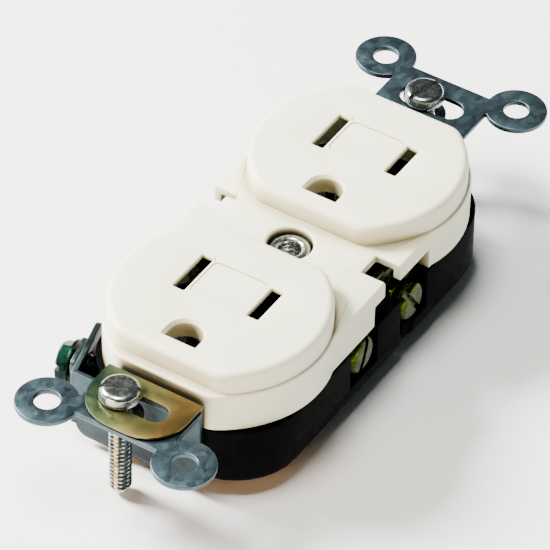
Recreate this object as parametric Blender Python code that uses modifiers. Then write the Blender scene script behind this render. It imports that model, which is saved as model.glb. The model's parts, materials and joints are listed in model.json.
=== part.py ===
"""Duplex wall outlet: two grounded sockets in a moulded cover on a black body, held in a steel strap.

Lengths are in millimetres and are turned into metres by MM. Z is 0 on the strap's back and points
out of the sockets, Y runs along the outlet with the ground holes on the -Y side of the blade slots,
and X runs across it with the live side at +X.
"""

import math

import bmesh
import bpy
from mathutils import Matrix, Vector

MM = 0.001
GAP = 0.3  # room left between neighbouring pieces
REACH = 4.0  # how far a cutter runs past the face that it opens
ROOT = 1.0  # how far a joined shape runs into the one that it stands on

# Heights above the back
FACE_Z = 22.7
LEDGE_Z = FACE_Z - 3.8
STRAP_TOP = FACE_Z - 5.1
COVER_BOTTOM = FACE_Z - 10.6
BODY_TOP = COVER_BOTTOM - GAP
STRAP_T = 0.9
STRAP_UNDER = STRAP_TOP - STRAP_T
BODY_BOTTOM = STRAP_T + GAP
FLOOR_TOP = BODY_BOTTOM + 1.8

# Sockets
LOBE_Y = 19.45  # half of the 38.9 mm between the two receptacle faces
FACE_R = 17.05
FACE_HALF = 14.3
FACE_EDGE = 1.2
FACE_CORNER = 4.0
FACE_T = 1.4
SLEEVE_T = 3.2  # the ground hole's deeper wall
SLEEVE_WALL = 1.3
LEAF_TOP = FACE_Z - 5.2
TIER_R = 17.6
TIER_HALF = 15.7
TIER_EDGE = 0.45
TIER_CORNER = 4.4
SLOT_RISE = 2.4  # slots above the middle of their face
SLOT_X = 6.35
SLOT_W = 1.9
LONG_SLOT = 8.2
SHORT_SLOT = 7.0
GROUND_DROP = 11.9
GROUND_R = 2.7
GROUND_FLAT = 1.5
PANEL_DEPTH = 0.12
PANEL_HALF_X = SLOT_X - SLOT_W / 2 - 0.5
PANEL_HALF_Y = 3.9
SLOT_CHAMFER = 0.2
SLOT_SKIN = 0.8  # the face is thinned to this round each blade slot
SLOT_MARGIN = 1.0
GROUND_CHAMFER = 0.5
SLOT_Y = {"upper": LOBE_Y + SLOT_RISE, "lower": -LOBE_Y + SLOT_RISE}

# Cover and body
SIDE_X = 16.8
WALL = 1.8
POCKET_X_WALL = 2.2  # the cover's wall round a socket, across the outlet and along it
POCKET_Y_WALL = 2.4
POCKET_CORNER = 1.0
BODY_X = 17.0
BODY_Y = 35.15
BODY_CORNER = 11.0
BODY_EDGE = 1.8
BODY_SKIN = BODY_X - 0.6  # where the body's inner ribs end inside its wall
SILL = 1.2  # rise of the ledge that the contact strips stand on
SILL_X = 12.2
GROOVE_R = 2.2
GROOVE_X = BODY_X + 1.2
GROOVE_Y = 7.4
BRIDGE_T = 2.2
RECESS_R = 3.6
RECESS_CHAMFER = 0.3
BOSS_R = 3.4
PILOT_R = 1.6
PILOT_TOP = FACE_Z - 4.2

# Terminals
TERMINAL_MID = 1.8
TERMINAL_STEP = 7.2
TERMINAL_Y = {"upper": TERMINAL_MID + TERMINAL_STEP, "lower": TERMINAL_MID - TERMINAL_STEP}
TERMINAL_Z = 8.4
STRIP_X = 12.7
STRIP_T = 0.8
LEAF_T = 0.4
LEAF_HALF = 3.2
STRIP_BASE = FLOOR_TOP + SILL + GAP
STRIP_MARGIN = 0.6  # how far a strip runs past its clamp plate
FOOT_T = 0.6
FIN_H = 3.0
FIN_RISE = 0.6
BLADE_ROOM = 0.95  # from a slot's middle to its leaves
FOOT_REACH = 2.0  # how far the foot stops short of the terminal plate's face
FOOT_LAP = 1.0
FIN_LAP = 0.5
CLAMP_T = 0.9
CLAMP_HALF = 3.5
CLAMP_CORNER = 1.0
HEAD_R = 3.4
HEAD_T = 2.0
SHANK_R = 2.05
SHANK_L = 6.6
SHANK_ROOM = 0.25
DRIVE_W = 1.0  # the slot in a terminal screw's head
DRIVE_DEPTH = 0.9
WIRE_HOLE_R = 1.2
WIRE_HOLE_X = STRIP_X + STRIP_T + 1.6
WIRE_HOLE_Y = 2.4
TERMINAL_TURN = {"upper": math.radians(35), "lower": math.radians(-20)}
NOTCH_X = 12.4
NOTCH_LOW = 0.4
NOTCH_HIGH = 4.8
NOTCH_SKIN = 1.3  # the cover is thinned to this round each notch
NOTCH_MARGIN = 1.6
WINDOW_LOW = -2.4
WINDOW_HIGH = 13.4
WINDOW_TOP = FACE_Z - 6.7
STRIP_TOP = WINDOW_TOP - GAP - 0.4

# Strap
LEG_IN = BODY_Y + GAP
LEG_OUT = LEG_IN + STRAP_T
PLATE_X = 8.5
PLATE_Y = 47.5
PLATE_CORNER = 0.8
EAR_X = 12.0
EAR_R = 4.9
EAR_HOLE_R = 2.0
FIX_Y = 41.65  # half of the 83.3 mm between the box screws
FIX_SLOT = 11.0
FIX_SLOT_W = 4.4
BAND_X = 7.5
BEND_IN = 0.5
BEND_OUT = BEND_IN + STRAP_T
BAND_LAP = 0.6  # how far the band runs into its end plates
WING_TURN = math.radians(15)
WING_LOW = 2.6
WING_HIGH = 12.7
WING_BACK = 3.0
WING_CORNER = 1.4
WING_ROOT_LOW = 0.4  # the wing's root on the leg reaches lower than the wing
WING_ROOT_CORNER = 2.1
WING_ROOT_LAP = 0.2
WING_SLIP = 0.1  # extra room between the wing and the body's corner
GROUND_SCREW_Z = 9.0
GROUND_SCREW_T = 4.0  # from the tangent point along the wing

GROUND_PLATE_HALF = 3.3
GROUND_PLATE_T = 0.7
GROUND_SLIP = 0.25  # between wing, clamp plate and screw
HEX_R = 3.5
HEX_H = 2.4
FLANGE_R = 3.9
FLANGE_T = 0.6
HEX_EDGE = 0.4
HEX_SLOT_FLOOR = 1.5
GROUND_SHANK_L = 4.6

# Rivets and the centre bush
RIVET_R = 1.2
RIVET_HOLE_R = 1.5
RIVET_MOUTH = 2.5
RIVET_HEAD_R = 2.0
RIVET_HEAD_T = 0.7
RIVET_TAIL_R = 2.1
SCREW_MOUTH = 2.9
BUSH_R = 2.4
BUSH_HOLE_R = 2.8
BUSH_HEAD_R = 3.3
BUSH_BORE_R = 1.75
BUSH_TOP = LEDGE_Z - 0.8
BUSH_FLOOR = 6.0

# Ground contacts
CONTACT_REACH = GROUND_R + 0.5
CONTACT_NEAR = 2.6
CONTACT_LEAF_HALF = 2.2
CONTACT_BACK_HALF = 1.8

# Screws that hold the body together
BINDER_R = 1.3
BINDER_TIP_R = 0.7
BINDER_TIP = 17.0
BINDER_TAPER = 15.5
BINDER_HEAD_R = 2.4
BINDER_SLOT_W = 0.7
BINDER_SLOT_DEPTH = 0.5

# Screws through the strap
FIX_R = 1.75
FIX_L = 19.05
FIX_HEAD_R = 3.3
FIX_HEAD_T = 1.9
FIX_DRIVE_W = 0.9
FIX_X = {"upper": -1.4, "lower": -3.0}
FIX_TURN = {"upper": math.radians(75), "lower": math.radians(25)}
WASHER_R = 3.6
WASHER_T = 0.8
WASHER_FIT = 0.15
WASHER_ROOM = 1.5  # how far the screw can lift before its washer meets the strap
CLIP_T = 0.45
CLIP_X = 8.3
CLIP_CORNER = 6.4
CLIP_OVERHANG = 0.1
CLIP_SLOT_LESS = 0.6  # how much shorter the clip's slot is than the strap's
CLIP_SLOT_W_LESS = 0.4

PARTS = None
CUTTERS = None
FINISHES = {}


def clear_scene():
    for obj in list(bpy.data.objects):
        bpy.data.objects.remove(obj, do_unlink=True)


def new_collection(name):
    made = bpy.data.collections.new(name)
    bpy.context.scene.collection.children.link(made)
    return made


def finish(name, colour, roughness, metallic):
    material = bpy.data.materials.new(name)
    material.use_nodes = True
    shader = material.node_tree.nodes["Principled BSDF"]
    shader.inputs["Base Color"].default_value = (*colour, 1.0)
    shader.inputs["Roughness"].default_value = roughness
    shader.inputs["Metallic"].default_value = metallic
    FINISHES[name] = material


def make_finishes():
    finish("ivory", (0.86, 0.83, 0.72), 0.35, 0.0)
    finish("black", (0.012, 0.012, 0.014), 0.4, 0.0)
    finish("galvanised", (0.36, 0.43, 0.48), 0.38, 0.9)
    finish("yellow_zinc", (0.52, 0.45, 0.20), 0.35, 0.9)
    finish("zinc", (0.62, 0.63, 0.62), 0.3, 1.0)
    finish("brass", (0.62, 0.50, 0.20), 0.32, 1.0)
    finish("nickel", (0.62, 0.60, 0.56), 0.3, 1.0)
    finish("green", (0.03, 0.17, 0.09), 0.35, 0.6)
    finish("fibre", (0.09, 0.08, 0.075), 0.8, 0.0)


def mesh_object(mesh):
    obj = bpy.data.objects.new(mesh.name, mesh)
    CUTTERS.objects.link(obj)
    obj.hide_render = True
    obj.display_type = "WIRE"
    return obj


def as_part(obj, name, material):
    """Moves a shape from the cutters to the parts, as the named piece with its finish."""
    CUTTERS.objects.unlink(obj)
    PARTS.objects.link(obj)
    obj.name = name
    obj.hide_render = False
    obj.display_type = "TEXTURED"
    obj.data.materials.clear()
    obj.data.materials.append(FINISHES[material])
    obj.data.shade_smooth()
    obj.data.set_sharp_from_angle(angle=math.radians(35))
    return obj


def from_bmesh(bm, name):
    mesh = bpy.data.meshes.new(name)
    bm.to_mesh(mesh)
    bm.free()
    return mesh_object(mesh)


def box(low, high):
    bm = bmesh.new()
    bmesh.ops.create_cube(bm, size=1.0)
    middle = (Vector(low) + Vector(high)) / 2
    size = Vector(high) - Vector(low)
    for vertex in bm.verts:
        vertex.co = Vector(c * s + m for c, s, m in zip(vertex.co, size, middle)) * MM
    return from_bmesh(bm, "box")


def rod(radius, low, high, centre=(0.0, 0.0), sides=24):
    """An upright cylinder."""
    bm = bmesh.new()
    bmesh.ops.create_cone(
        bm, cap_ends=True, segments=sides, radius1=radius * MM, radius2=radius * MM,
        depth=(high - low) * MM,
    )
    bmesh.ops.translate(bm, vec=Vector((*centre, (low + high) / 2)) * MM, verts=bm.verts)
    return from_bmesh(bm, "rod")


def prism(outline, low, high):
    """A flat outline, a list of points in order, pulled up from low to high."""
    curve = bpy.data.curves.new("outline", "CURVE")
    curve.dimensions = "2D"
    curve.fill_mode = "BOTH"
    curve.extrude = (high - low) / 2 * MM
    spline = curve.splines.new("POLY")
    spline.points.add(len(outline) - 1)
    for point, (x, y) in zip(spline.points, outline):
        point.co = (x * MM, y * MM, 0.0, 1.0)
    spline.use_cyclic_u = True
    return meshed(curve, (low + high) / 2)


def loft(rings):
    """A solid skinned over level rings, each an outline and its height, from the bottom up."""
    bm = bmesh.new()
    levels = [[bm.verts.new(Vector((x, y, z)) * MM) for x, y in outline] for outline, z in rings]
    for below, above in zip(levels, levels[1:]):
        for i in range(len(below)):
            bm.faces.new((below[i - 1], below[i], above[i], above[i - 1]))
    bm.faces.new(levels[-1])
    bm.faces.new(list(reversed(levels[0])))
    bmesh.ops.recalc_face_normals(bm, faces=bm.faces)
    return from_bmesh(bm, "loft")


def meshed(curve, height):
    """The curve as a mesh with its caps welded, its middle at the given height."""
    guide = bpy.data.objects.new("guide", curve)
    guide.location.z = height * MM
    CUTTERS.objects.link(guide)
    bpy.context.view_layer.update()
    evaluated = guide.evaluated_get(bpy.context.evaluated_depsgraph_get())
    mesh = bpy.data.meshes.new_from_object(evaluated)
    mesh.transform(guide.matrix_world)
    bpy.data.objects.remove(guide, do_unlink=True)
    bm = bmesh.new()
    bm.from_mesh(mesh)
    bmesh.ops.remove_doubles(bm, verts=bm.verts, dist=1e-6)
    bmesh.ops.dissolve_limit(
        bm, angle_limit=math.radians(0.5), verts=bm.verts, edges=bm.edges, delimit={"NORMAL"}
    )
    bmesh.ops.recalc_face_normals(bm, faces=bm.faces)
    bm.to_mesh(mesh)
    bm.free()
    return mesh_object(mesh)


def turned(profile, sides):
    """A profile of (radius, height) points, from its top down its outer side, turned about Z."""
    mesh = bpy.data.meshes.new("turned")
    points = [(radius * MM, 0.0, height * MM) for radius, height in profile]
    mesh.from_pydata(points, [(i, i + 1) for i in range(len(points) - 1)], [])
    obj = mesh_object(mesh)
    screw = obj.modifiers.new("turn", "SCREW")
    screw.steps = sides
    screw.render_steps = sides
    screw.use_merge_vertices = True
    screw.merge_threshold = 1e-5
    return obj


def apply(obj):
    """The object's modifiers made part of its mesh."""
    bpy.context.view_layer.update()
    evaluated = obj.evaluated_get(bpy.context.evaluated_depsgraph_get())
    mesh = bpy.data.meshes.new_from_object(evaluated)
    obj.modifiers.clear()
    obj.data = mesh
    return obj


def combine(obj, other, operation):
    change = obj.modifiers.new(operation.lower(), "BOOLEAN")
    change.operation = operation
    change.solver = "EXACT"
    change.object = other
    apply(obj)
    bpy.data.objects.remove(other, do_unlink=True)
    return obj


def cut(obj, *cutters):
    for cutter in cutters:
        combine(obj, cutter, "DIFFERENCE")
    return obj


def join(obj, *others):
    for other in others:
        combine(obj, other, "UNION")
    return obj


def bevel_edges(obj, width, segments, chosen):
    """Rounds the edges whose two ends both pass the test, which reads millimetres."""
    bm = bmesh.new()
    bm.from_mesh(obj.data)
    edges = [e for e in bm.edges if all(chosen(v.co / MM) for v in e.verts)]
    bmesh.ops.bevel(
        bm, geom=edges, offset=width * MM, offset_type="OFFSET", segments=segments, profile=0.5,
        affect="EDGES", clamp_overlap=True,
    )
    bm.to_mesh(obj.data)
    bm.free()
    return obj


def moved(obj, x=0.0, y=0.0, z=0.0, turn=None):
    """Moves a shape's mesh, after turning it with a rotation matrix if there is one."""
    place = Matrix.Translation(Vector((x, y, z)) * MM)
    obj.data.transform(place @ turn if turn else place)
    return obj


def set_origin(obj, x, y, z):
    """Puts the object's origin on its joint's axis without moving the shape."""
    spot = Vector((x, y, z)) * MM
    obj.data.transform(Matrix.Translation(-spot))
    obj.location = spot
    return obj


def arc(centre, radius, start, end, steps):
    """Points on an arc from start to end, in degrees."""
    angles = [math.radians(start + (end - start) * i / steps) for i in range(steps + 1)]
    return [(centre[0] + radius * math.cos(a), centre[1] + radius * math.sin(a)) for a in angles]


def lobe(radius, half, corner, centre_y, steps=20):
    """A round face cut flat at its two ends, with rounded corners."""
    corner_x, tip = lobe_corner(radius, half, corner)
    right = arc((corner_x, corner - half), corner, 270, 360 - tip, 3)
    right += arc((0.0, 0.0), radius, -tip, tip, steps)[1:]
    right += arc((corner_x, half - corner), corner, tip, 90, 3)[1:]
    return [(x, y + centre_y) for x, y in right + [(-x, -y) for x, y in right]]


def lobe_corner(radius, half, corner):
    """The X of a rounded corner's centre, and the angle in degrees at which it meets the round side."""
    corner_x = math.sqrt((radius - corner) ** 2 - (half - corner) ** 2)
    return corner_x, math.degrees(math.atan2(half - corner, corner_x))


def tier_outline(inset):
    """The cover's lower tier: two lobes joined by a straight-sided waist."""
    radius = TIER_R - inset
    half = TIER_HALF - inset
    corner = TIER_CORNER - inset
    corner_x, tip = lobe_corner(radius, half, corner)
    waist = math.degrees(math.acos((SIDE_X - inset) / radius))
    upper_right = arc((0.0, LOBE_Y), radius, -waist, tip, 16)
    upper_right += arc((corner_x, LOBE_Y + half - corner), corner, tip, 90, 3)[1:]
    upper = upper_right + [(-x, y) for x, y in reversed(upper_right)]
    return upper + [(-x, -y) for x, y in upper]


def rounded_box(half_x, half_y, corner, centre=(0.0, 0.0), steps=5):
    points = []
    for start, sx, sy in ((0, 1, 1), (90, -1, 1), (180, -1, -1), (270, 1, -1)):
        spot = (centre[0] + sx * (half_x - corner), centre[1] + sy * (half_y - corner))
        points += arc(spot, corner, start, start + 90, steps)
    return points


def oblong(length, width, centre, steps=8):
    """A slot with round ends, long in X."""
    reach = (length - width) / 2
    right = arc((centre[0] + reach, centre[1]), width / 2, -90, 90, steps)
    left = arc((centre[0] - reach, centre[1]), width / 2, 90, 270, steps)
    return right + left


def circle(radius, centre=(0.0, 0.0), sides=32):
    return arc(centre, radius, 0, 360, sides)[:-1]


def slot_outline(x, y, length, grow):
    half_w = SLOT_W / 2 + grow
    half_l = length / 2 + grow
    corners = ((-1, -1), (1, -1), (1, 1), (-1, 1))
    return [(x + sx * half_w, y + sy * half_l) for sx, sy in corners]


def ground_outline(y, grow):
    """A ground hole: round towards the slots, flat away from them."""
    radius = GROUND_R + grow
    floor = y - GROUND_FLAT - grow
    return arc((0.0, y), radius, 0, 180, 14) + [(-radius, floor), (radius, floor)]


def opening(outline, low, top, chamfer):
    """A cutter that opens a hole down to low, with a chamfer at the surface, top. The outline can grow."""
    plain = outline(0.0)
    return loft([(plain, low), (plain, top - chamfer), (outline(chamfer + ROOT), top + ROOT)])


def rounded_rise(low, top, radius, steps):
    """Insets and heights of a wall that rises from low and rounds over to a flat top."""
    turns = [math.radians(90 * i / steps) for i in range(steps + 1)]
    rounded = [(radius * (1 - math.cos(t)), top - radius * (1 - math.sin(t))) for t in turns]
    return [(0.0, low), *rounded]


def facing_x(side):
    """Turns an upright shape to point along +X or -X."""
    return Matrix.Rotation(side * math.pi / 2, 4, "Y")


# Cover ---------------------------------------------------------------------------------------


def face_pad(centre_y):
    levels = rounded_rise(LEDGE_Z - ROOT, FACE_Z, FACE_EDGE, 5)
    return loft([(lobe(FACE_R - d, FACE_HALF - d, FACE_CORNER - d, centre_y), z) for d, z in levels])


def cut_face_openings(cover, where):
    """The blade slots, the shallow panel between them and the ground hole of one socket."""
    slot_y = SLOT_Y[where]
    low = FACE_Z - REACH
    for x, length in ((-SLOT_X, LONG_SLOT), (SLOT_X, SHORT_SLOT)):
        cut(cover, prism(slot_outline(x, slot_y, length, SLOT_MARGIN), low, FACE_Z - SLOT_SKIN))
        cut(cover, opening(lambda grow: slot_outline(x, slot_y, length, grow), low, FACE_Z, SLOT_CHAMFER))
    ground_y = slot_y - GROUND_DROP
    cut(cover, opening(lambda grow: ground_outline(ground_y, grow), low, FACE_Z, GROUND_CHAMFER))
    panel = rounded_box(PANEL_HALF_X, PANEL_HALF_Y, 1.0, (0.0, slot_y), 3)
    cut(cover, prism(panel, FACE_Z - PANEL_DEPTH, FACE_Z + REACH))


def front_cover():
    cover = loft([(tier_outline(d), z) for d, z in rounded_rise(COVER_BOTTOM, LEDGE_Z, TIER_EDGE, 3)])
    for sign in (1, -1):
        join(cover, face_pad(sign * LOBE_Y))
    for sign in (1, -1):
        pocket = lobe(TIER_R - POCKET_X_WALL, TIER_HALF - POCKET_Y_WALL, POCKET_CORNER, sign * LOBE_Y, 12)
        cut(cover, prism(pocket, COVER_BOTTOM - REACH, FACE_Z - FACE_T))
    waist = SIDE_X - WALL
    cut(cover, box((-waist, -LOBE_Y / 2, COVER_BOTTOM - REACH), (waist, LOBE_Y / 2, LEDGE_Z - BRIDGE_T)))
    cut(cover, opening(lambda grow: circle(RECESS_R + grow), 0.0, LEDGE_Z, RECESS_CHAMFER))
    for side in (1, -1):
        inner, outer = sorted((side * NOTCH_X, side * (SIDE_X + REACH)))
        cut(cover, box((inner, NOTCH_LOW, 0.0), (outer, NOTCH_HIGH, FACE_Z + REACH)))
        cut(cover, box((inner, WINDOW_LOW, 0.0), (outer, WINDOW_HIGH, WINDOW_TOP)))
        thinned = sorted((side * (NOTCH_X - NOTCH_MARGIN), side * (SIDE_X - NOTCH_SKIN)))
        low = (thinned[0], NOTCH_LOW - NOTCH_MARGIN, 0.0)
        cut(cover, box(low, (thinned[1], NOTCH_HIGH + NOTCH_MARGIN, LEDGE_Z - NOTCH_SKIN)))
    for sign in (1, -1):
        spot = (0.0, sign * LOBE_Y)
        join(cover, rod(BOSS_R, FLOOR_TOP + GAP, FACE_Z - FACE_T / 2, spot))
        cut(cover, rod(PILOT_R, 0.0, PILOT_TOP, spot, 16))
    for where, slot_y in SLOT_Y.items():
        around = ground_outline(slot_y - GROUND_DROP, SLEEVE_WALL)
        join(cover, prism(around, FACE_Z - SLEEVE_T, FACE_Z - FACE_T / 2))
        cut_face_openings(cover, where)
    as_part(cover, "front_cover", "ivory")


# Body ----------------------------------------------------------------------------------------


def back_body():
    body = prism(rounded_box(BODY_X, BODY_Y, BODY_CORNER, steps=8), BODY_BOTTOM, BODY_TOP)
    bevel_edges(body, BODY_EDGE, 3, lambda v: v.z < BODY_BOTTOM + 0.01)
    inner = rounded_box(BODY_X - WALL, BODY_Y - WALL, BODY_CORNER - WALL, steps=8)
    cut(body, prism(inner, FLOOR_TOP, BODY_TOP + REACH))
    for side in (1, -1):
        sill = sorted((side * SILL_X, side * BODY_SKIN))
        join(body, box((sill[0], -BODY_Y / 2, FLOOR_TOP - ROOT), (sill[1], BODY_Y / 2, FLOOR_TOP + SILL)))
        fin = sorted((side * (STRIP_X + STRIP_T + GAP), side * BODY_SKIN))
        low = TERMINAL_Y["lower"] + CLAMP_HALF + GAP
        high = TERMINAL_Y["upper"] - CLAMP_HALF - GAP
        join(body, box((fin[0], low, FLOOR_TOP - ROOT), (fin[1], high, BODY_TOP)))
        for where in ("upper", "lower"):
            middle = TERMINAL_Y[where]
            inner, outer = sorted((side * STRIP_X, side * (BODY_X + REACH)))
            reach = CLAMP_HALF + GAP
            floor = TERMINAL_Z - CLAMP_HALF - GAP
            cut(body, box((inner, middle - reach, floor), (outer, middle + reach, BODY_TOP + REACH)))
            for offset in (-WIRE_HOLE_Y, WIRE_HOLE_Y):
                cut(body, rod(WIRE_HOLE_R, -REACH, TERMINAL_Z, (side * WIRE_HOLE_X, middle + offset), 12))
        cut(body, rod(GROOVE_R, -REACH, BODY_TOP + REACH, (side * GROOVE_X, GROOVE_Y), 16))
    for sign in (1, -1):
        cut(body, rod(PILOT_R, -REACH, FLOOR_TOP + REACH, (0.0, sign * LOBE_Y), 16))
    for where in ("upper", "lower"):
        spot = (0.0, SLOT_Y[where] - GROUND_DROP)
        cut(body, rod(RIVET_HOLE_R, -REACH, FLOOR_TOP + REACH, spot, 16))
    cut(body, rod(BUSH_HOLE_R, -REACH, FLOOR_TOP + REACH))
    hole = rod(SHANK_R + 2 * SHANK_ROOM, -SHANK_L, REACH, sides=16)
    hole.data.transform(ground_screw_place())
    cut(body, hole)
    as_part(body, "back_body", "black")


# Strap ---------------------------------------------------------------------------------------


def wing_tangent():
    """Where the ground wing's inner face passes closest to the body's rounded corner."""
    reach = BODY_CORNER + GAP + WING_SLIP
    return Vector((
        -(BODY_X - BODY_CORNER) - reach * math.cos(WING_TURN),
        -(BODY_Y - BODY_CORNER) - reach * math.sin(WING_TURN),
        0.0,
    ))


def wing_direction():
    return Vector((math.sin(WING_TURN), -math.cos(WING_TURN), 0.0))


def ground_screw_axis():
    return Vector((-math.cos(WING_TURN), -math.sin(WING_TURN), 0.0))


def ground_screw_place():
    """Turns an upright shape so that its Z runs out of the wing, with 0 on the wing's outer face."""
    outer = wing_tangent() + wing_direction() * GROUND_SCREW_T + ground_screw_axis() * STRAP_T
    outer.z = GROUND_SCREW_Z
    turn = ground_screw_axis().to_track_quat("Z", "Y").to_matrix().to_4x4()
    return Matrix.Translation(outer * MM) @ turn


def wing():
    """The upright tab for the ground screw, from behind the corner to the lower leg."""
    corner_length = (LEG_OUT + wing_tangent().y) / math.cos(WING_TURN)
    tab = box((0.0, -corner_length, WING_LOW), (STRAP_T, WING_BACK, WING_HIGH))
    middle = (WING_LOW + WING_HIGH) / 2
    for sign in (1, -1):
        bevel_edges(tab, WING_CORNER, 3, lambda v: v.y > WING_BACK - 0.01 and sign * (v.z - middle) > 0)
    tab.data.transform(Matrix.Translation(Vector((-STRAP_T, 0.0, 0.0)) * MM))
    tab.data.transform(Matrix.Rotation(WING_TURN, 4, "Z"))
    tab.data.transform(Matrix.Translation(wing_tangent() * MM))
    return tab


def end_plate(sign):
    start = LEG_IN + BEND_OUT
    middle = (0.0, sign * (PLATE_Y + start) / 2)
    outline = rounded_box(PLATE_X, (PLATE_Y - start) / 2, PLATE_CORNER, middle, 3)
    plate = prism(outline, STRAP_UNDER, STRAP_TOP)
    for side in (1, -1):
        join(plate, rod(EAR_R, STRAP_UNDER, STRAP_TOP, (side * EAR_X, sign * PLATE_Y), 40))
    for side in (1, -1):
        cut(plate, rod(EAR_HOLE_R, 0.0, FACE_Z, (side * EAR_X, sign * PLATE_Y), 28))
    slot = oblong(FIX_SLOT, FIX_SLOT_W, (0.0, sign * FIX_Y))
    cut(plate, prism(slot, 0.0, FACE_Z))
    return plate


def band_outline():
    """The strap from the side, in (Y, Z): the back, the legs and the start of the end plates."""
    end = LEG_IN + BEND_OUT + BAND_LAP
    inner = [(end, STRAP_TOP)]
    inner += arc((LEG_IN + BEND_OUT, STRAP_TOP - BEND_OUT), BEND_OUT, 90, 180, 5)
    inner += arc((LEG_IN - BEND_IN, STRAP_T + BEND_IN), BEND_IN, 360, 270, 3)
    outer = arc((LEG_OUT - BEND_OUT, BEND_OUT), BEND_OUT, 270, 360, 5)
    outer += arc((LEG_OUT + BEND_IN, STRAP_UNDER - BEND_IN), BEND_IN, 180, 90, 3)
    outer.append((end, STRAP_UNDER))
    loop = inner + [(-y, z) for y, z in reversed(inner)]
    return loop + [(-y, z) for y, z in reversed(outer)] + outer


def mounting_strap():
    strap = prism(band_outline(), -BAND_X, BAND_X)
    strap.data.transform(Matrix(((0, 0, 1, 0), (1, 0, 0, 0), (0, 1, 0, 0), (0, 0, 0, 1))))
    corner = wing_tangent() + wing_direction() * ((LEG_OUT + wing_tangent().y) / math.cos(WING_TURN))
    root = box((corner.x - WING_ROOT_LAP, -LEG_OUT, WING_ROOT_LOW), (ROOT - BAND_X, -LEG_IN, WING_HIGH))
    bevel_edges(root, WING_ROOT_CORNER, 5, lambda v: v.x < corner.x and v.z < WING_LOW)
    join(strap, root)
    join(strap, wing())
    for sign in (1, -1):
        join(strap, end_plate(sign))
    hole = rod(SHANK_R + SHANK_ROOM, -2 * STRAP_T, STRAP_T, sides=20)
    hole.data.transform(ground_screw_place())
    cut(strap, hole)
    for sign in (1, -1):
        cut(strap, countersink(PILOT_R, SCREW_MOUTH, (0.0, sign * LOBE_Y)))
    for where in ("upper", "lower"):
        cut(strap, countersink(RIVET_HOLE_R, RIVET_MOUTH, (0.0, SLOT_Y[where] - GROUND_DROP)))
    as_part(strap, "mounting_strap", "galvanised")


def countersink(radius, mouth, centre):
    """A conical hole in the strap's back."""
    profile = [(0.0, REACH), (radius, REACH), (radius, STRAP_T), (mouth, -0.1), (mouth, -ROOT), (0.0, -ROOT)]
    return moved(apply(turned(profile, 20)), centre[0], centre[1])


def grounding_clip():
    """The thin contact plate on the strap's lower end, with rounded outer corners."""
    low = STRAP_TOP + GAP
    near = -PLATE_Y - CLIP_OVERHANG
    far = -LEG_OUT - GAP
    outline = [(CLIP_X, far), (-CLIP_X, far)]
    outline += arc((-CLIP_X + CLIP_CORNER, near + CLIP_CORNER), CLIP_CORNER, 180, 270, 6)
    outline += arc((CLIP_X - CLIP_CORNER, near + CLIP_CORNER), CLIP_CORNER, 270, 360, 6)
    clip = prism(outline, low, low + CLIP_T)
    slot = oblong(FIX_SLOT - CLIP_SLOT_LESS, FIX_SLOT_W - CLIP_SLOT_W_LESS, (0.0, -FIX_Y))
    cut(clip, prism(slot, 0.0, FACE_Z))
    as_part(clip, "grounding_clip", "yellow_zinc")


# Contacts ------------------------------------------------------------------------------------


def contact_strip(name, side, material):
    """Terminal plate with its break-off fin, and a pair of sprung leaves behind each blade slot."""
    outer = STRIP_X + STRIP_T

    def part_box(x, y, z):
        xs = sorted((side * x[0], side * x[1]))
        return box((xs[0], y[0], z[0]), (xs[1], y[1], z[1]))

    reach = CLAMP_HALF + STRIP_MARGIN
    plates = {where: (middle - reach, middle + reach) for where, middle in TERMINAL_Y.items()}
    strip = part_box((STRIP_X, outer), plates["lower"], (STRIP_BASE, STRIP_TOP))
    join(strip, part_box((STRIP_X, outer), plates["upper"], (STRIP_BASE, STRIP_TOP)))
    fin = (plates["lower"][1] - FIN_LAP, plates["upper"][0] + FIN_LAP)
    join(strip, part_box((STRIP_X, outer), fin, (STRIP_TOP - FIN_H, STRIP_TOP + FIN_RISE)))
    inner_leaf = SLOT_X - BLADE_ROOM - LEAF_T
    outer_leaf = SLOT_X + BLADE_ROOM
    foot = (STRIP_BASE, STRIP_BASE + FOOT_T)
    leaf = (STRIP_BASE + FOOT_T / 2, LEAF_TOP)
    for where, slot_y in SLOT_Y.items():
        span = (slot_y - LEAF_HALF, slot_y + LEAF_HALF)
        link = (min(span[0], plates[where][0]), max(span[1], plates[where][1]))
        join(strip, part_box((inner_leaf, outer - FOOT_REACH), span, foot))
        join(strip, part_box((outer - FOOT_REACH - FOOT_LAP, outer), link, foot))
        join(strip, part_box((inner_leaf, inner_leaf + LEAF_T), span, leaf))
        join(strip, part_box((outer_leaf, outer_leaf + LEAF_T), span, leaf))
    for middle in TERMINAL_Y.values():
        hole = rod(SHANK_R + SHANK_ROOM, -2 * STRIP_T, 2 * STRIP_T, sides=20)
        moved(hole, side * (STRIP_X + STRIP_T / 2), middle, TERMINAL_Z, facing_x(side))
        cut(strip, hole)
    as_part(strip, name, material)


def ground_contact(where):
    """A sprung sleeve of three leaves on a riveted base."""
    y = SLOT_Y[where] - GROUND_DROP
    base = FLOOR_TOP + GAP
    reach = CONTACT_REACH
    clip = box((-reach, y - CONTACT_NEAR, base), (reach, y + reach, base + FOOT_T))
    leaf_base = base + FOOT_T / 2
    for side in (1, -1):
        low, high = sorted((side * (reach - LEAF_T), side * reach))
        join(clip, box((low, y - CONTACT_LEAF_HALF, leaf_base), (high, y + CONTACT_LEAF_HALF, LEAF_TOP)))
    low = (-CONTACT_BACK_HALF, y + reach - LEAF_T, leaf_base)
    join(clip, box(low, (CONTACT_BACK_HALF, y + reach, LEAF_TOP)))
    cut(clip, rod(RIVET_HOLE_R, 0.0, base + REACH, (0.0, y), 16))
    as_part(clip, "ground_contact_" + where, "brass")


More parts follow.
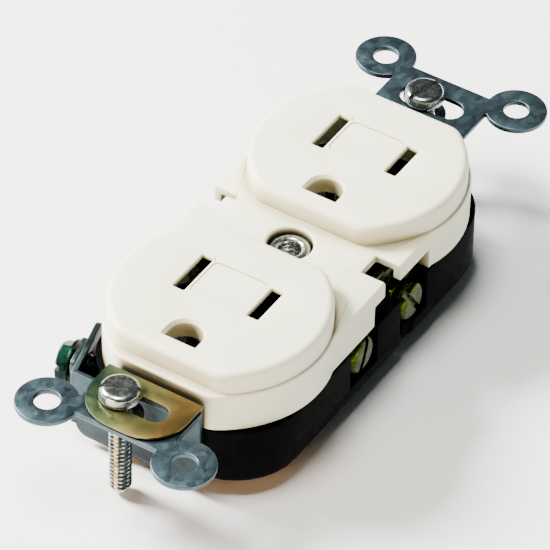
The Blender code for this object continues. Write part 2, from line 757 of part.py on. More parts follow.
def ground_rivet(where):
    """Joins a ground contact to the strap through the body's floor."""
    y = SLOT_Y[where] - GROUND_DROP
    seat = FLOOR_TOP + GAP + FOOT_T + GAP
    top = seat + RIVET_HEAD_T
    profile = [
        (0.0, top), (RIVET_R, top), (RIVET_HEAD_R, seat), (RIVET_R, seat), (RIVET_R, STRAP_T),
        (RIVET_TAIL_R, 0.0), (0.0, 0.0),
    ]
    rivet = moved(apply(turned(profile, 20)), 0.0, y)
    as_part(rivet, "ground_rivet_" + where, "nickel")


def centre_bush():
    """The threaded post that takes the wall-plate screw."""
    foot = STRAP_T + GAP
    profile = [
        (0.0, BUSH_FLOOR), (BUSH_BORE_R, BUSH_FLOOR + ROOT), (BUSH_BORE_R, BUSH_TOP),
        (BUSH_HEAD_R - 0.1, BUSH_TOP),
        (BUSH_HEAD_R, BUSH_TOP - 0.3), (BUSH_HEAD_R, COVER_BOTTOM), (BUSH_R, COVER_BOTTOM - 1.0),
        (BUSH_R, foot), (0.0, foot),
    ]
    as_part(apply(turned(profile, 28)), "centre_bush", "zinc")


# Fasteners -----------------------------------------------------------------------------------


def screw_shape(head_r, head_t, shank_r, length, slot_w, slot_depth, sides=24):
    """A slotted pan-head screw standing on Z, its head's underside at 0."""
    crown = [(0.0, 1.0), (0.55, 0.97), (0.86, 0.72), (1.0, 0.3), (1.0, 0.0)]
    profile = [(head_r * across, head_t * up) for across, up in crown]
    profile += [(shank_r, 0.0), (shank_r, 0.4 * shank_r - length), (0.6 * shank_r, -length), (0.0, -length)]
    shape = apply(turned(profile, sides))
    reach = head_r + ROOT
    return cut(shape, box((-reach, -slot_w / 2, head_t - slot_depth), (reach, slot_w / 2, head_t + REACH)))


def assembly_screw(where, sign):
    """Holds the strap, body and cover together from the back."""
    profile = [
        (0.0, BINDER_TIP), (BINDER_TIP_R, BINDER_TIP), (BINDER_R, BINDER_TAPER), (BINDER_R, STRAP_T),
        (BINDER_HEAD_R, 0.0), (0.0, 0.0),
    ]
    screw = apply(turned(profile, 20))
    reach = BINDER_HEAD_R + ROOT
    half_slot = BINDER_SLOT_W / 2
    cut(screw, box((-reach, -half_slot, -ROOT), (reach, half_slot, BINDER_SLOT_DEPTH)))
    moved(screw, 0.0, sign * LOBE_Y)
    as_part(screw, "assembly_screw_" + where, "zinc")


def terminal(pole, side, where, material):
    """A wire screw and the clamp plate under its head."""
    y = TERMINAL_Y[where]
    plate_x = STRIP_X + STRIP_T + GAP
    head_x = plate_x + CLAMP_T + GAP
    outline = rounded_box(CLAMP_HALF, CLAMP_HALF, CLAMP_CORNER, steps=3)
    plate = prism(outline, 0.0, CLAMP_T)
    cut(plate, rod(SHANK_R + SHANK_ROOM, -REACH, REACH, sides=20))
    moved(plate, side * plate_x, y, TERMINAL_Z, facing_x(side))
    as_part(plate, "clamp_plate_" + pole + "_" + where, material)
    set_origin(plate, side * plate_x, y, TERMINAL_Z)
    screw = screw_shape(HEAD_R, HEAD_T, SHANK_R, SHANK_L, DRIVE_W, DRIVE_DEPTH)
    tilt = Matrix.Rotation(TERMINAL_TURN[where], 4, "Z")
    moved(screw, side * head_x, y, TERMINAL_Z, facing_x(side) @ tilt)
    as_part(screw, "terminal_screw_" + pole + "_" + where, material)
    set_origin(screw, side * head_x, y, TERMINAL_Z)


def ground_terminal():
    """The green hexagonal screw and its clamp plate, on the wing."""
    outline = rounded_box(GROUND_PLATE_HALF, GROUND_PLATE_HALF, CLAMP_CORNER, steps=3)
    plate = prism(outline, GROUND_SLIP, GROUND_SLIP + GROUND_PLATE_T)
    cut(plate, rod(SHANK_R + SHANK_ROOM, -REACH, REACH, sides=20))
    as_part(plate, "ground_clamp_plate", "zinc")
    seat = GROUND_SLIP + GROUND_PLATE_T + GROUND_SLIP
    screw = rod(HEX_R, seat, seat + HEX_H, sides=6)
    bevel_edges(screw, HEX_EDGE, 2, lambda v: v.z > seat + HEX_H / 2)
    join(screw, rod(FLANGE_R, seat, seat + FLANGE_T, sides=24))
    join(screw, rod(SHANK_R, -GROUND_SHANK_L, seat + FLANGE_T / 2, sides=20))
    low = (-FLANGE_R, -DRIVE_W / 2, seat + HEX_SLOT_FLOOR)
    cut(screw, box(low, (FLANGE_R, DRIVE_W / 2, seat + REACH)))
    as_part(screw, "ground_screw", "green")
    for obj in (plate, screw):
        obj.matrix_world = ground_screw_place()


def mounting_screw(where, sign):
    """A long screw through the strap's slot, kept there by a fibre washer."""
    x = FIX_X[where]
    seat = STRAP_TOP + GAP
    if where == "lower":
        seat += CLIP_T + GAP
    screw = screw_shape(FIX_HEAD_R, FIX_HEAD_T, FIX_R, FIX_L, FIX_DRIVE_W, DRIVE_DEPTH)
    moved(screw, turn=Matrix.Rotation(FIX_TURN[where], 4, "Z"))
    as_part(screw, "mounting_screw_" + where, "zinc")
    screw.location = Vector((x, sign * FIX_Y, seat)) * MM
    top = STRAP_UNDER - WASHER_ROOM - GAP
    washer = rod(WASHER_R, -WASHER_T, 0.0)
    cut(washer, rod(FIX_R + WASHER_FIT, -REACH, REACH, sides=20))
    as_part(washer, "retaining_washer_" + where, "fibre")
    washer.location = Vector((x, sign * FIX_Y, top)) * MM


def main():
    global PARTS, CUTTERS
    clear_scene()
    PARTS = new_collection("duplex_wall_outlet")
    CUTTERS = new_collection("cutters")
    make_finishes()
    front_cover()
    back_body()
    mounting_strap()
    grounding_clip()
    centre_bush()
    contact_strip("hot_contact_strip", 1, "brass")
    contact_strip("neutral_contact_strip", -1, "nickel")
    for where, sign in (("upper", 1), ("lower", -1)):
        ground_contact(where)
        ground_rivet(where)
        assembly_screw(where, sign)
        mounting_screw(where, sign)
        terminal("hot", 1, where, "brass")
        terminal("neutral", -1, where, "nickel")
    ground_terminal()


main()
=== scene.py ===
import json
import math

import bmesh
import bpy
from mathutils import Matrix, Vector


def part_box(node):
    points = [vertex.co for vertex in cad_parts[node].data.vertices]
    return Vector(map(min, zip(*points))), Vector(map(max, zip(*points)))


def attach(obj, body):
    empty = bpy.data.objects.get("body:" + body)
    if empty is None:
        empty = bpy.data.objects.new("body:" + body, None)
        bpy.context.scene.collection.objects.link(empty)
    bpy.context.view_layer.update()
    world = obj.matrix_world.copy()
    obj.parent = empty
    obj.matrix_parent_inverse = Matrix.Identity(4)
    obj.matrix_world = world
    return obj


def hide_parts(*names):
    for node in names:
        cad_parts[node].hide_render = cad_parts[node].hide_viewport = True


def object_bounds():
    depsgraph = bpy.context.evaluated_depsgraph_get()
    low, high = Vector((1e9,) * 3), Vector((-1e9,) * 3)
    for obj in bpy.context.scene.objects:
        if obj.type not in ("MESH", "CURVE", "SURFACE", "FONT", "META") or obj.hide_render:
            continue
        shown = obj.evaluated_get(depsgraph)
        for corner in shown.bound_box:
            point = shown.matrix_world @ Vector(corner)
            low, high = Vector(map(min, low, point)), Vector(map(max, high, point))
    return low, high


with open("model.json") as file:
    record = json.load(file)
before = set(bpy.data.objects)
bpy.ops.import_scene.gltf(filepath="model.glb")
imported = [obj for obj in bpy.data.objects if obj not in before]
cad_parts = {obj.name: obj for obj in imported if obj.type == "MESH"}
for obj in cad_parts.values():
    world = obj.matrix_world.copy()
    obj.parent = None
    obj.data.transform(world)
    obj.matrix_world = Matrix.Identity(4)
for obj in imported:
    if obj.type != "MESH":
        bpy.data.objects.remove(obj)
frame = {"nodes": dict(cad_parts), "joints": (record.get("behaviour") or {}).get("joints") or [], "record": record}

# Looks of the duplex wall outlet. Every length is in metres, in the CAD's frame: Z runs out of the
# sockets, Y along the outlet and X across it, with the live side at +X.

MM = 0.001
CAD_LOW, CAD_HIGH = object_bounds()

# Camera, as seen from the outlet
CAMERA_AZIMUTH = math.radians(31.47)
CAMERA_ELEVATION = math.radians(42.27)
CAMERA_ROLL = math.radians(1.52)
CAMERA_DISTANCE = 0.7269
CAMERA_LENS = 315.2
AIM = Vector((0.88, -5.54, 16.98)) * MM

# Threads
PITCH = 0.79375 * MM  # 32 to the inch, on every screw here
THREAD_DEPTH = 0.32 * MM
ROWS_PER_TURN = 8
COLUMNS = 48

# Screws, each with its head's thickness, shank radius and the width of its slot
BOX_HEAD_T = 1.9 * MM
BOX_SHANK_R = 1.75 * MM
BOX_SLOT_W = 0.85 * MM
WIRE_HEAD_T = 2.0 * MM
WIRE_SHANK_R = 2.05 * MM
WIRE_SLOT_W = 0.95 * MM
WIRE_TURNS = (("upper", 0.6), ("lower", -0.35))
BOX_TURNS = (("upper", 1.3), ("lower", 0.44))

# Ground screw, with heights from the strap's face
HEX_ACROSS = 6.1 * MM
HEX_COLUMNS = 72
FLANGE_LOW = 1.2 * MM
FLANGE_TOP = 1.8 * MM
HEX_TOP = 3.6 * MM
GROUND_THREAD_L = 5.8 * MM
HEX_SLOT_TURN = 0.4

# Wall-plate bush, with drops from its rim
BUSH_BORE_R = 1.72 * MM
BUSH_POST_R = 2.3 * MM
BUSH_LIP = 0.55 * MM
BUSH_THREAD_DROP = 0.8 * MM
BUSH_THREAD_L = 7.0 * MM
BUSH_FLOOR_DROP = 7.9 * MM
LIP_STEPS = 8

# Sheet-metal and moulding edges
EDGE_ANGLE = math.radians(32)
WELD = 2e-6
PANEL_HALF_X = 5.1 * MM
PANEL_DEPTH = 0.2 * MM
THIN_EDGE = 0.05 * MM
PLATE_EDGE = 0.1 * MM

# Studio
FLOOR_SIZE = 6.0
CLIP_HALF_X = 8.3 * MM


# Patterns ------------------------------------------------------------------------------------


class Surface:
    """A Principled material, with patterns in the object's own coordinates."""

    def __init__(self, name, metallic=0.0, **constant):
        self.material = bpy.data.materials.new(name)
        self.material.use_nodes = True
        self.tree = self.material.node_tree
        self.shader = self.tree.nodes["Principled BSDF"]
        self.shader.inputs["Metallic"].default_value = metallic
        for socket, value in constant.items():
            self.shader.inputs[socket.replace("_", " ")].default_value = value
        self.place = self.tree.nodes.new("ShaderNodeTexCoord").outputs["Object"]

    def stretched(self, scale, turn=(0.0, 0.0, 0.0)):
        node = self.tree.nodes.new("ShaderNodeMapping")
        node.inputs["Scale"].default_value = scale
        node.inputs["Rotation"].default_value = turn
        self.tree.links.new(self.place, node.inputs["Vector"])
        return node.outputs["Vector"]

    def noise(self, size, detail=3.0, rough=0.5, vector=None, distort=0.0):
        """Cloudy noise with blotches of about the given size, from 0 to 1."""
        node = self.tree.nodes.new("ShaderNodeTexNoise")
        node.inputs["Scale"].default_value = 1 / size
        node.inputs["Detail"].default_value = detail
        node.inputs["Roughness"].default_value = rough
        node.inputs["Distortion"].default_value = distort
        self.tree.links.new(vector or self.place, node.inputs["Vector"])
        return node.outputs["Fac"]

    def cells(self, size, vector=None):
        """A random value from 0 to 1 for each cell of about the given size."""
        node = self.tree.nodes.new("ShaderNodeTexVoronoi")
        node.inputs["Scale"].default_value = 1 / size
        self.tree.links.new(vector or self.place, node.inputs["Vector"])
        split = self.tree.nodes.new("ShaderNodeSeparateColor")
        self.tree.links.new(node.outputs["Color"], split.inputs["Color"])
        return split.outputs["Red"]

    def openness(self, reach):
        """1 on open surfaces, falling to 0 deep in holes and corners narrower than the reach. The materials use it
        to paint shade into their colour.
        """
        node = self.tree.nodes.new("ShaderNodeAmbientOcclusion")
        node.samples = 8
        node.inputs["Distance"].default_value = reach
        return node.outputs["AO"]

    def along(self, axis, low, high):
        """Runs from 0 to 1 between two places on one axis."""
        split = self.tree.nodes.new("ShaderNodeSeparateXYZ")
        self.tree.links.new(self.place, split.inputs["Vector"])
        return self.spread(split.outputs[axis], low, high, 0.0, 1.0)

    def spread(self, value, low, high, to_low, to_high):
        node = self.tree.nodes.new("ShaderNodeMapRange")
        for socket, number in zip(("From Min", "From Max", "To Min", "To Max"), (low, high, to_low, to_high)):
            node.inputs[socket].default_value = number
        self.tree.links.new(value, node.inputs["Value"])
        return node.outputs["Result"]

    def ramp(self, value, *stops):
        node = self.tree.nodes.new("ShaderNodeValToRGB")
        steps = node.color_ramp.elements
        while len(steps) < len(stops):
            steps.new(0.5)
        for step, (spot, colour) in zip(steps, stops):
            step.position = spot
            step.color = (*colour, 1.0)
        self.tree.links.new(value, node.inputs["Fac"])
        return node.outputs["Color"]

    def blended(self, amount, first, second, mode="MIX"):
        """Two colours, mixed by a pattern or, for a number, by that share."""
        node = self.tree.nodes.new("ShaderNodeMix")
        node.data_type = "RGBA"
        node.blend_type = mode
        if isinstance(amount, float):
            node.inputs["Factor"].default_value = amount
        else:
            self.tree.links.new(amount, node.inputs["Factor"])
        for socket, colour in ((node.inputs[6], first), (node.inputs[7], second)):
            if isinstance(colour, tuple):
                socket.default_value = (*colour, 1.0)
            else:
                self.tree.links.new(colour, socket)
        return node.outputs[2]

    def colour(self, value):
        self.tree.links.new(value, self.shader.inputs["Base Color"])

    def roughness(self, value, low, high):
        self.tree.links.new(self.spread(value, 0.25, 0.75, low, high), self.shader.inputs["Roughness"])

    def bumps(self, *layers):
        """Each layer is a pattern and its height in metres."""
        normal = None
        for value, height in layers:
            node = self.tree.nodes.new("ShaderNodeBump")
            node.inputs["Distance"].default_value = height
            node.inputs["Strength"].default_value = 1.0
            self.tree.links.new(value, node.inputs["Height"])
            if normal:
                self.tree.links.new(normal, node.inputs["Normal"])
            normal = node.outputs["Normal"]
        self.tree.links.new(normal, self.shader.inputs["Normal"])


def ivory_plastic():
    s = Surface("ivory_plastic", Subsurface_Weight=0.08, Subsurface_Scale=0.8 * MM, Specular_IOR_Level=0.4)
    moulded = s.ramp(s.noise(11 * MM, 4), (0.3, (0.80, 0.81, 0.60)), (0.7, (0.86, 0.865, 0.67)))
    # Painted shade: ambient occlusion darkens the colour to near black deep in the slots and holes, and to tan at
    # the foot of inner walls.
    hollow_painted_shade = s.ramp(
        s.openness(5 * MM),
        (0.2, (0.012, 0.009, 0.006)), (0.48, (0.15, 0.115, 0.07)),
        (0.66, (0.66, 0.56, 0.42)), (0.9, (1.0, 1.0, 1.0)),
    )
    s.colour(s.blended(1.0, moulded, hollow_painted_shade, "MULTIPLY"))
    s.roughness(s.noise(3 * MM, 5, 0.6), 0.30, 0.45)
    s.bumps((s.noise(0.25 * MM, 4), 0.006 * MM), (s.noise(2.5 * MM, 2), 0.02 * MM))
    return s.material


def black_phenolic():
    s = Surface("black_phenolic", Specular_IOR_Level=0.012)
    mottle = s.noise(2.2 * MM, 5, 0.7)
    s.colour(s.ramp(mottle, (0.35, (0.0006, 0.0007, 0.0012)), (0.8, (0.002, 0.0025, 0.0035))))
    s.roughness(s.noise(1.4 * MM, 5, 0.6), 0.38, 0.55)
    s.bumps((s.noise(0.35 * MM, 5, 0.6), 0.015 * MM), (s.noise(4 * MM, 2), 0.03 * MM))
    return s.material


def galvanised_steel():
    s = Surface("galvanised_steel", metallic=0.9)
    spangle = s.cells(0.9 * MM, s.stretched((1.0, 0.7, 1.0)))
    cloud = s.noise(4 * MM, 5, 0.6)
    base = s.ramp(cloud, (0.3, (0.030, 0.053, 0.068)), (0.7, (0.070, 0.112, 0.132)))
    flakes = s.ramp(spangle, (0.0, (0.035, 0.055, 0.07)), (1.0, (0.10, 0.138, 0.16)))
    # Painted shade: ambient occlusion darkens the steel wherever it is hemmed in, most on the legs under the end
    # plates.
    strap_painted_shade = s.ramp(s.openness(16 * MM), (0.35, (0.012, 0.02, 0.022)), (0.86, (1.0, 1.0, 1.0)))
    s.colour(s.blended(1.0, s.blended(0.25, base, flakes), strap_painted_shade, "MULTIPLY"))
    s.roughness(s.blended(0.3, cloud, spangle), 0.30, 0.48)
    scratches = s.noise(0.4 * MM, 2, 0.5, s.stretched((1.0, 0.06, 1.0), (0.0, 0.0, 0.3)))
    s.bumps((scratches, 0.012 * MM), (s.noise(1.5 * MM, 4), 0.03 * MM))
    return s.material


def yellow_plate():
    s = Surface("yellow_plate", metallic=0.85)
    across = s.along("X", -CLIP_HALF_X, CLIP_HALF_X)
    cloud = s.noise(2.6 * MM, 4, 0.6, distort=0.6)
    tone = s.blended(0.4, across, cloud)
    s.colour(s.ramp(
        tone,
        (0.18, (0.016, 0.044, 0.028)), (0.36, (0.055, 0.072, 0.030)),
        (0.55, (0.135, 0.13, 0.042)), (0.72, (0.13, 0.078, 0.020)), (0.9, (0.060, 0.062, 0.022)),
    ))
    s.roughness(cloud, 0.26, 0.45)
    s.bumps((s.noise(0.5 * MM, 4), 0.012 * MM), (s.noise(3 * MM, 2), 0.05 * MM))
    return s.material


def bright_metal(name, dark, light, low=0.2, high=0.4, size=1.6 * MM):
    """Plated or plain metal with cloudy tarnish and fine tool marks."""
    s = Surface(name, metallic=1.0)
    cloud = s.noise(size, 5, 0.65, distort=0.4)
    s.colour(s.ramp(cloud, (0.32, dark), (0.62, light)))
    s.roughness(s.noise(0.7 * MM, 4), low, high)
    s.bumps((s.noise(0.18 * MM, 3), 0.006 * MM), (s.noise(1.2 * MM, 3), 0.015 * MM))
    return s.material


def vulcanised_fibre():
    s = Surface("vulcanised_fibre")
    strands = s.noise(0.5 * MM, 4, 0.6, s.stretched((1.0, 0.15, 0.5), (0.0, 0.0, 0.7)))
    s.colour(s.ramp(strands, (0.3, (0.05, 0.045, 0.042)), (0.7, (0.11, 0.10, 0.095))))
    s.roughness(strands, 0.7, 0.9)
    s.bumps((strands, 0.03 * MM))
    return s.material


def pale_floor():
    s = Surface("pale_floor")
    s.colour(s.ramp(s.noise(0.3, 2), (0.3, (0.92, 0.92, 0.925)), (0.7, (0.94, 0.94, 0.94))))
    s.roughness(s.noise(0.05, 2), 0.75, 0.85)
    return s.material


MATERIALS = {
    "cover": ivory_plastic(),
    "body": black_phenolic(),
    "strap": galvanised_steel(),
    "clip": yellow_plate(),
    "zinc": bright_metal("zinc_plate", (0.22, 0.26, 0.25), (0.50, 0.53, 0.50), 0.16, 0.32),
    "brass": bright_metal("olive_brass", (0.004, 0.009, 0.0006), (0.050, 0.078, 0.004)),
    "nickel": bright_metal("nickel_plate", (0.38, 0.37, 0.34), (0.66, 0.64, 0.60)),
    "green": bright_metal("green_dye", (0.001, 0.004, 0.003), (0.003, 0.015, 0.010), 0.25, 0.45),
    "fibre": vulcanised_fibre(),
}
# A darker copy of the zinc plate: painted shade for the ground clamp plate, which lies in shade by the green
# screw.
ZINC_PAINTED_SHADE = bright_metal("zinc_painted_shade", (0.02, 0.035, 0.033), (0.08, 0.105, 0.10), 0.35, 0.55)
SLOTS = {row["node"]: row["material_slot"] for row in frame["record"]["subparts"]}
BODIES = {node: body for body, nodes in frame["record"]["behaviour"]["bodies"].items() for node in nodes}


# Meshes --------------------------------------------------------------------------------------


def shown(name, mesh, node):
    """Puts a new mesh in the place of a CAD node, with that node's body and finish."""
    mesh.shade_smooth()
    mesh.set_sharp_from_angle(angle=EDGE_ANGLE)
    piece = bpy.data.objects.new(name, mesh)
    bpy.context.scene.collection.objects.link(piece)
    mesh.materials.clear()
    mesh.materials.append(MATERIALS[SLOTS[node]])
    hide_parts(node)
    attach(piece, BODIES[node])
    return piece


def eased(node, width, segments=2, spared=lambda edge: False):
    """The CAD node's shape with its sharp edges rounded off, apart from the spared ones."""
    source = frame["nodes"][node].data
    mesh = bpy.data.meshes.new(node + "_eased")
    mesh.from_pydata([v.co for v in source.vertices], [], [tuple(p.vertices) for p in source.polygons])
    bm = bmesh.new()
    bm.from_mesh(mesh)
    bmesh.ops.remove_doubles(bm, verts=bm.verts, dist=WELD)
    inner = [e for e in bm.edges if len(e.link_faces) == 2]
    sharp = [e for e in inner if e.calc_face_angle() > EDGE_ANGLE and not spared(e)]
    bmesh.ops.bevel(
        bm, geom=sharp, offset=width, offset_type="OFFSET", segments=segments, profile=0.5,
        affect="EDGES", clamp_overlap=False, miter_outer="ARC",
    )
    bm.to_mesh(mesh)
    bm.free()
    return shown(node + "_eased", mesh, node)


def turned(rows, columns=COLUMNS):
    """A skin over rows, from one end to the other. A row is a plain pair of radius and height, or a
    function of the angle that gives one. The first and last rows are single points on the axis."""
    bm = bmesh.new()
    angles = [2 * math.pi * i / columns for i in range(columns)]
    rings = []
    for row in rows:
        pairs = [row(a) if callable(row) else row for a in angles]
        if pairs[0][0] == 0:
            rings.append([bm.verts.new((0.0, 0.0, pairs[0][1]))])
        else:
            spots = [(r * math.cos(a), r * math.sin(a), z) for (r, z), a in zip(pairs, angles)]
            rings.append([bm.verts.new(spot) for spot in spots])
    for above, below in zip(rings, rings[1:]):
        for i in range(columns):
            corners = [
                above[i % len(above)], below[i % len(below)],
                below[(i + 1) % len(below)], above[(i + 1) % len(above)],
            ]
            bm.faces.new(list(dict.fromkeys(corners)))
    bmesh.ops.recalc_face_normals(bm, faces=bm.faces)
    mesh = bpy.data.meshes.new("turned")
    bm.to_mesh(mesh)
    bm.free()
    return mesh


def threaded(radius, start, length, depth=THREAD_DEPTH):
    """Rows of a right-handed thread down from start. It fades in below the head and out at the tip."""
    def row(fall):
        fade = min(1.0, fall / PITCH, (length - fall) / (0.8 * PITCH))
        tip = max(0.0, 1.0 - (length - fall) / (1.2 * PITCH)) * 0.3 * radius
        def at(angle):
            phase = ((start - fall) / PITCH - angle / (2 * math.pi)) % 1.0
            return radius - tip - depth * fade * abs(2 * phase - 1), start - fall
        return at
    count = int(length / PITCH * ROWS_PER_TURN)
    return [row(length * i / count) for i in range(count + 1)]


def pan_head(radius, thickness, steps=7):
    """Rows of a screw head from its crown to its underside: nearly flat, with a round shoulder."""
    rows = [(0.0, thickness)]
    rows += [(radius * share, thickness * (1 - 0.07 * share ** 2)) for share in (0.2, 0.4, 0.6)]
    for i in range(1, steps + 1):
        turn = math.pi / 2 * i / steps
        rows.append((radius * (0.64 + 0.30 * math.sin(turn)), thickness * (0.55 + 0.42 * math.cos(turn))))
    return rows + [(radius * 0.985, 0.3 * thickness), (radius, 0.16 * thickness), (radius * 0.97, 0.0)]


def cut(mesh, cutter_size, cutter_spot, turn=0.0):
    """The mesh with a box taken out of it."""
    body = bpy.data.objects.new("cut_body", mesh)
    bm = bmesh.new()
    bmesh.ops.create_cube(bm, size=1.0)
    for v in bm.verts:
        v.co = Vector(c * s for c, s in zip(v.co, cutter_size)) + Vector(cutter_spot)
    bmesh.ops.rotate(bm, verts=bm.verts, matrix=Matrix.Rotation(turn, 3, "Z"))
    box_mesh = bpy.data.meshes.new("cutter")
    bm.to_mesh(box_mesh)
    bm.free()
    box = bpy.data.objects.new("cutter", box_mesh)
    for obj in (body, box):
        bpy.context.scene.collection.objects.link(obj)
    change = body.modifiers.new("slot", "BOOLEAN")
    change.operation = "DIFFERENCE"
    change.solver = "EXACT"
    change.object = box
    bpy.context.view_layer.update()
    made = bpy.data.meshes.new_from_object(body.evaluated_get(bpy.context.evaluated_depsgraph_get()))
    for obj in (body, box):
        bpy.data.objects.remove(obj, do_unlink=True)
    return made


# Screws --------------------------------------------------------------------------------------


def node_middle(node):
    low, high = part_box(node)
    return (low + high) / 2


def slotted(mesh, head_r, head, width, turn):
    """The screw with a slot across its head, as deep as it is wide."""
    return cut(mesh, (4 * head_r, width, head), (0.0, 0.0, 1.5 * head - width), turn)


def box_screw(where, turn):
    """One of the long screws, its head and thread as deep as the CAD screw's."""
    node = "mounting_screw_" + where
    low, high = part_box(node)
    head = BOX_HEAD_T
    head_r = (high.x - low.x) / 2
    rows = pan_head(head_r, head)
    rows += threaded(BOX_SHANK_R, 0.0, high.z - head - low.z)
    rows.append((0.0, low.z - high.z + head))
    mesh = slotted(turned(rows), head_r, head, BOX_SLOT_W, turn)
    middle = (low + high) / 2
    mesh.transform(Matrix.Translation((middle.x, middle.y, high.z - head)))
    return shown("box_screw_" + where, mesh, node)


def terminal_screw(pole, where, turn):
    node = "terminal_screw_" + pole + "_" + where
    low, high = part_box(node)
    side = 1 if pole == "hot" else -1
    head = WIRE_HEAD_T
    head_r = (high.z - low.z) / 2
    rows = pan_head(head_r, head)
    rows += threaded(WIRE_SHANK_R, 0.0, high.x - low.x - head)
    rows.append((0.0, low.x - high.x + head))
    mesh = slotted(turned(rows), head_r, head, WIRE_SLOT_W, turn)
    middle = node_middle(node)
    seat = (high.x if side == 1 else low.x) - side * head
    facing = Matrix.Rotation(side * math.pi / 2, 4, "Y")
    mesh.transform(Matrix.Translation((seat, middle.y, middle.z)) @ facing)
    return shown("wire_screw_" + pole + "_" + where, mesh, node)


def hex_row(across, z, limit):
    """A row of a hexagonal head, cut back to a circle at its chamfer."""
    def at(angle):
        turn = (angle + math.pi / 6) % (math.pi / 3) - math.pi / 6
        return min(across / 2 / math.cos(turn), limit), z
    return at


def ground_screw():
    """The hexagonal screw with its washer face, along the wing's own direction."""
    joint = next(j for j in frame["joints"] if j["name"] == "screw_ground_turn")
    rows = [(0.0, HEX_TOP), (2.6 * MM, HEX_TOP)]
    rows += [hex_row(HEX_ACROSS, HEX_TOP - 0.12 * MM * i, (2.75 + 0.16 * i) * MM) for i in range(6)]
    rows += [hex_row(HEX_ACROSS, FLANGE_TOP + 0.1 * MM, math.inf), (3.3 * MM, FLANGE_TOP)]
    rows += [(3.75 * MM, FLANGE_TOP - 0.12 * MM), (3.85 * MM, FLANGE_TOP - 0.3 * MM)]
    rows += [(3.85 * MM, FLANGE_LOW + 0.1 * MM), (3.75 * MM, FLANGE_LOW)]
    rows += threaded(WIRE_SHANK_R, FLANGE_LOW, GROUND_THREAD_L)
    rows.append((0.0, FLANGE_LOW - GROUND_THREAD_L))
    slot = (12 * MM, WIRE_SLOT_W, 2 * MM)
    mesh = cut(turned(rows, HEX_COLUMNS), slot, (0.0, 0.0, HEX_TOP + 0.1 * MM), HEX_SLOT_TURN)
    outward = Vector(joint["axis"])
    turn = outward.to_track_quat("Z", "Y").to_matrix().to_4x4()
    mesh.transform(Matrix.Translation(joint["pos_m"]) @ turn)
    return shown("green_hex_screw", mesh, "ground_screw")


def centre_bush():
    """The threaded post for the wall-plate screw, with a rolled rim."""
    low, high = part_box("centre_bush")
    top = high.z
    outer = (high.x - low.x) / 2
    rows = [(0.0, low.z), (BUSH_POST_R, low.z), (BUSH_POST_R, top - 5 * MM)]
    rows += [(outer - 0.3 * MM, top - 4.2 * MM), (outer, top - 3.9 * MM), (outer, top - 0.6 * MM)]
    middle = (outer + BUSH_BORE_R) / 2
    half = (outer - BUSH_BORE_R) / 2
    for i in range(LIP_STEPS + 1):
        a = math.pi * i / LIP_STEPS
        rows.append((middle + half * math.cos(a), top - BUSH_LIP + BUSH_LIP * math.sin(a)))
    rows += threaded(BUSH_BORE_R, top - BUSH_THREAD_DROP, BUSH_THREAD_L, -0.28 * MM)
    rows.append((0.0, top - BUSH_FLOOR_DROP))
    return shown("wall_plate_bush", turned(rows), "centre_bush")


# Object --------------------------------------------------------------------------------------


def outlet():
    panel_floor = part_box("front_cover")[1].z - PANEL_DEPTH

    def on_panel(edge):
        """True for the edges of the shallow panel between two slots, whose step is too low to round."""
        return all(abs(v.co.x) < PANEL_HALF_X and v.co.z > panel_floor for v in edge.verts)

    eased("front_cover", 0.16 * MM, 3, on_panel)
    eased("back_body", 0.2 * MM)
    eased("mounting_strap", 0.18 * MM, 3)
    eased("grounding_clip", 0.12 * MM)
    for pole in ("hot", "neutral"):
        eased(pole + "_contact_strip", 0.07 * MM)
        for where, turn in WIRE_TURNS:
            eased("clamp_plate_" + pole + "_" + where, PLATE_EDGE)
            terminal_screw(pole, where, turn)
    for where, turn in BOX_TURNS:
        eased("retaining_washer_" + where, 0.12 * MM)
        eased("ground_contact_" + where, THIN_EDGE)
        eased("ground_rivet_" + where, THIN_EDGE)
        eased("assembly_screw_" + where, 0.06 * MM)
        box_screw(where, turn)
    # The ground clamp plate takes the darker zinc copy, as painted shade.
    eased("ground_clamp_plate", PLATE_EDGE).data.materials[0] = ZINC_PAINTED_SHADE
    ground_screw()
    centre_bush()


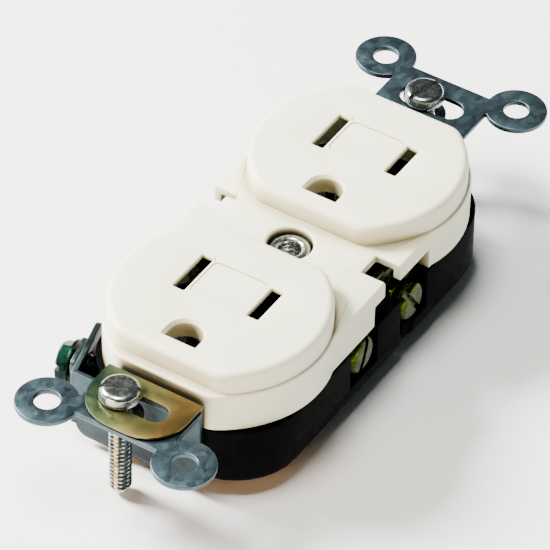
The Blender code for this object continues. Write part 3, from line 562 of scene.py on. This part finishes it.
# Studio --------------------------------------------------------------------------------------


def floor():
    bpy.ops.mesh.primitive_plane_add(size=FLOOR_SIZE, location=(0.0, 0.0, CAD_LOW.z))
    plane = bpy.context.object
    plane.name = "floor"
    plane.data.materials.append(pale_floor())


def camera():
    back = Vector((
        math.sin(CAMERA_AZIMUTH) * math.cos(CAMERA_ELEVATION),
        -math.cos(CAMERA_AZIMUTH) * math.cos(CAMERA_ELEVATION),
        math.sin(CAMERA_ELEVATION),
    ))
    data = bpy.data.cameras.new("camera")
    data.lens = CAMERA_LENS
    data.sensor_width = 36.0
    data.clip_start = 0.05
    data.clip_end = 20.0
    made = bpy.data.objects.new("camera", data)
    bpy.context.scene.collection.objects.link(made)
    made.rotation_mode = "QUATERNION"
    made.location = AIM + back * CAMERA_DISTANCE
    roll = Matrix.Rotation(CAMERA_ROLL, 3, "Z").to_quaternion()
    made.rotation_quaternion = (-back).to_track_quat("-Z", "Y") @ roll
    bpy.context.scene.camera = made


def area_light(name, spot, size, power, colour, aim=(0.0, 0.0, 0.01)):
    data = bpy.data.lights.new(name, "AREA")
    data.shape = "RECTANGLE"
    data.size, data.size_y = size
    data.energy = power
    data.color = colour
    lamp = bpy.data.objects.new(name, data)
    bpy.context.scene.collection.objects.link(lamp)
    lamp.location = spot
    lamp.rotation_mode = "QUATERNION"
    lamp.rotation_quaternion = (Vector(aim) - Vector(spot)).to_track_quat("-Z", "Y")


def studio():
    world = bpy.data.worlds.new("studio")
    bpy.context.scene.world = world
    world.use_nodes = True
    sky = world.node_tree.nodes["Background"]
    sky.inputs["Color"].default_value = (0.82, 0.95, 1.0, 1.0)
    sky.inputs["Strength"].default_value = 0.08
    area_light("key", (-0.95, -0.14, 0.80), (0.4, 0.4), 90, (1.0, 0.995, 0.94))
    area_light("top", (-0.15, -0.15, 1.25), (0.4, 0.4), 22, (1.0, 0.995, 0.95))
    area_light("front", (-0.25, -0.95, 0.24), (0.6, 0.3), 10, (1.0, 0.58, 0.25))


outlet()
floor()
camera()
studio()
